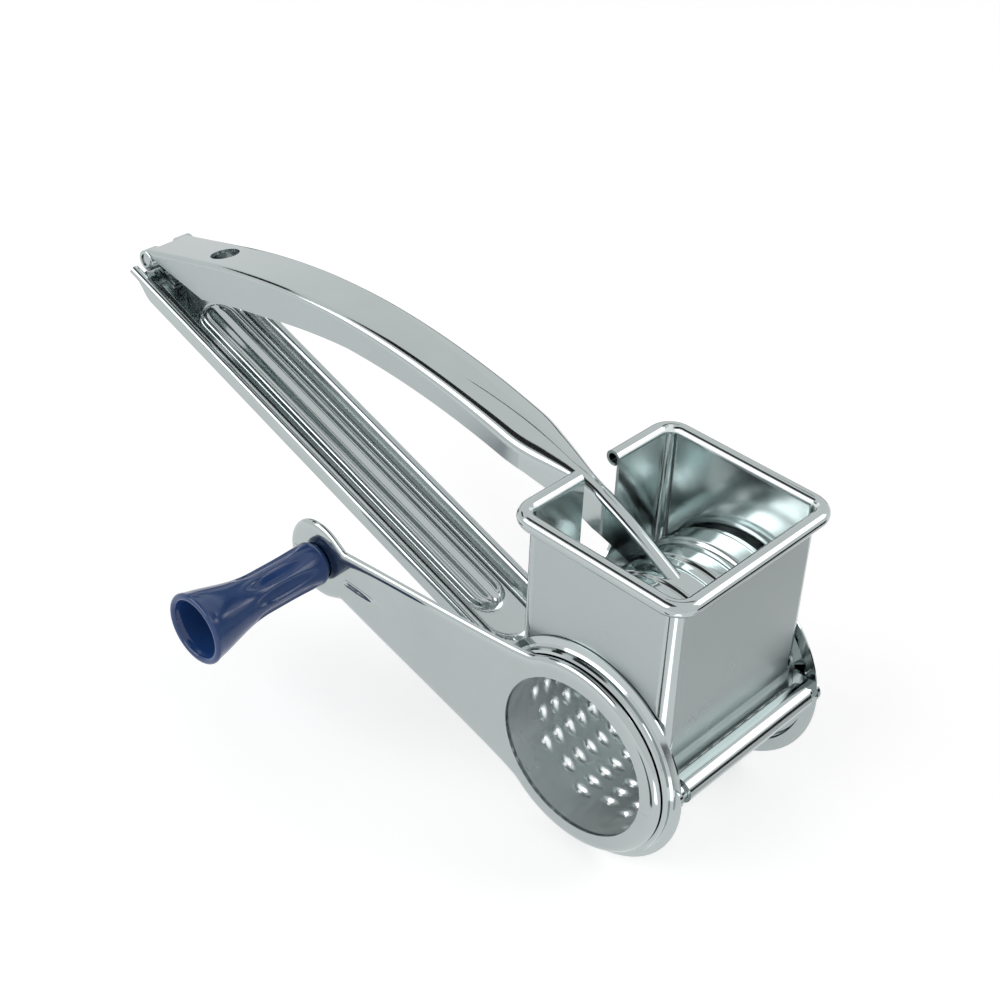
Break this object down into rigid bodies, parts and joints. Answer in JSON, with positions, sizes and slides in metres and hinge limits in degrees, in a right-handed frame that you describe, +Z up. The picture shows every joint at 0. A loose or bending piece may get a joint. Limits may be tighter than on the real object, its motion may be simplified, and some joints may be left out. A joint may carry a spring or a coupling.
{
  "type": "rotary cheese grater",
  "caption": "Hand-cranked rotary grater of pressed steel with a square hopper, a hinged presser arm, a toothed drum and a hollow blue crank knob.",
  "frame": {"origin": "centre of the hanging hole in the upper arm, half way through the sheet", "axes": "+X along the tool from the hinge to the front of the hopper, +Z up along the upright hopper, -Y towards the crank and knob"},
  "size_m": [0.2143, 0.0974, 0.0915],
  "materials": {
    "pressed_steel": "polished",
    "drum_steel": "polished",
    "pin_steel": "polished",
    "blue_plastic": "glossy"
  },
  "bodies": {
    "frame": {"lower_arm": "pressed_steel", "near_cheek": "pressed_steel", "far_cheek": "pressed_steel", "front_bar": "pressed_steel", "hopper": "pressed_steel", "hinge_pin": "pin_steel"},
    "press": {"upper_arm": "pressed_steel", "presser_pad": "pressed_steel"},
    "rotor": {"drum_shell": "drum_steel", "drum_end": "drum_steel", "crank": "pressed_steel", "knob_pin": "pin_steel"},
    "grip": {"knob": "blue_plastic"}
  },
  "joints": [
    {"name": "press_hinge", "type": "hinge", "parent": "frame", "child": "press", "pos_m": [-0.02571, 0, -0.00929], "axis": [0, -1, 0], "range_deg": [-4.2, 90]},
    {"name": "crank_spin", "type": "hinge", "parent": "frame", "child": "rotor", "pos_m": [0.15669, 0, -0.05473], "axis": [0, -1, 0], "continuous": true},
    {"name": "knob_spin", "type": "hinge", "parent": "rotor", "child": "grip", "pos_m": [0.06978, -0.05, -0.04758], "axis": [0, -1, 0], "continuous": true}
  ]
}
